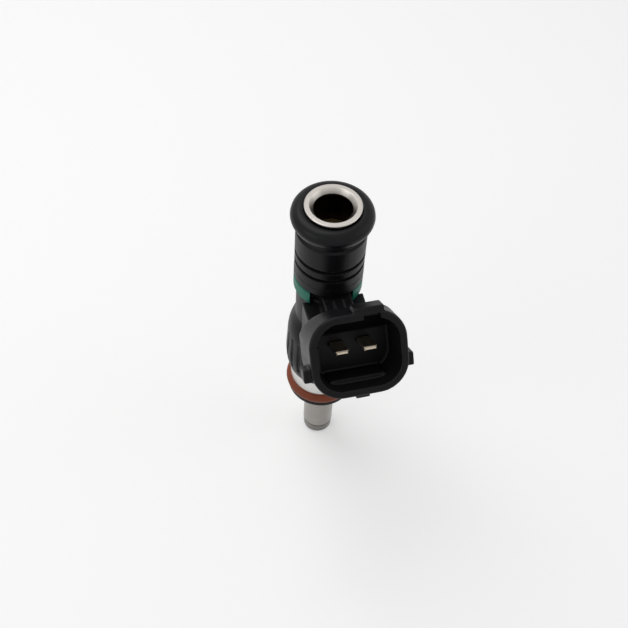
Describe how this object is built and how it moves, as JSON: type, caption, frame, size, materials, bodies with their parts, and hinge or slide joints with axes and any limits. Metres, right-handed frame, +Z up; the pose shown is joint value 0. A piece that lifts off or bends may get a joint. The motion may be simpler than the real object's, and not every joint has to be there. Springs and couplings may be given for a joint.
{
  "type": "fuel injector",
  "caption": "Port fuel injector with an angled two-pin connector, sealed flared inlet, slender spray tip and a sprung internal needle valve.",
  "frame": {"origin": "centre of the spray end's outer face, on the valve axis", "axes": "+Z up the valve axis from the spray end to the fuel inlet; the connector faces -Y, tilted 35 degrees up"},
  "size_m": [0.0194, 0.0328, 0.0706],
  "materials": {
    "stainless": "satin",
    "plated_steel": "satin",
    "seat_steel": "ground",
    "black_rubber": "satin",
    "brown_rubber": "satin",
    "black_nylon": "fine texture",
    "green_nylon": "satin",
    "tinned_brass": "tinned",
    "bobbin_nylon": "satin",
    "copper_wire": "enamelled",
    "magnet_steel": "turned",
    "spring_steel": "drawn",
    "filter_brass": "satin"
  },
  "bodies": {
    "housing": {"inlet_tube": "stainless", "magnet_housing": "plated_steel", "valve_sleeve": "stainless", "valve_seat": "seat_steel", "spray_plate": "seat_steel", "upper_o_ring": "black_rubber", "lower_o_ring": "brown_rubber", "support_ring": "black_nylon", "rail_collar": "black_nylon", "overmould": "black_nylon", "seal_retainer": "black_nylon", "coding_ring": "green_nylon", "terminal_left": "tinned_brass", "terminal_right": "tinned_brass", "flux_washer": "plated_steel", "coil_bobbin": "bobbin_nylon", "coil_winding": "copper_wire", "inner_pole": "magnet_steel", "adjusting_sleeve": "seat_steel", "return_spring": "spring_steel", "filter_collar": "filter_brass", "filter_basket": "bobbin_nylon", "filter_mesh": "spring_steel"},
    "needle": {"armature": "magnet_steel", "needle_tube": "seat_steel", "valve_ball": "seat_steel"}
  },
  "joints": [
    {"name": "needle_lift", "type": "slide", "parent": "housing", "child": "needle", "axis": [0, 0, 1], "range_m": [0, 0.0001], "stiffness_N_per_m": 6000, "springref_m": -0.0005, "deforming": ["return_spring"]}
  ]
}
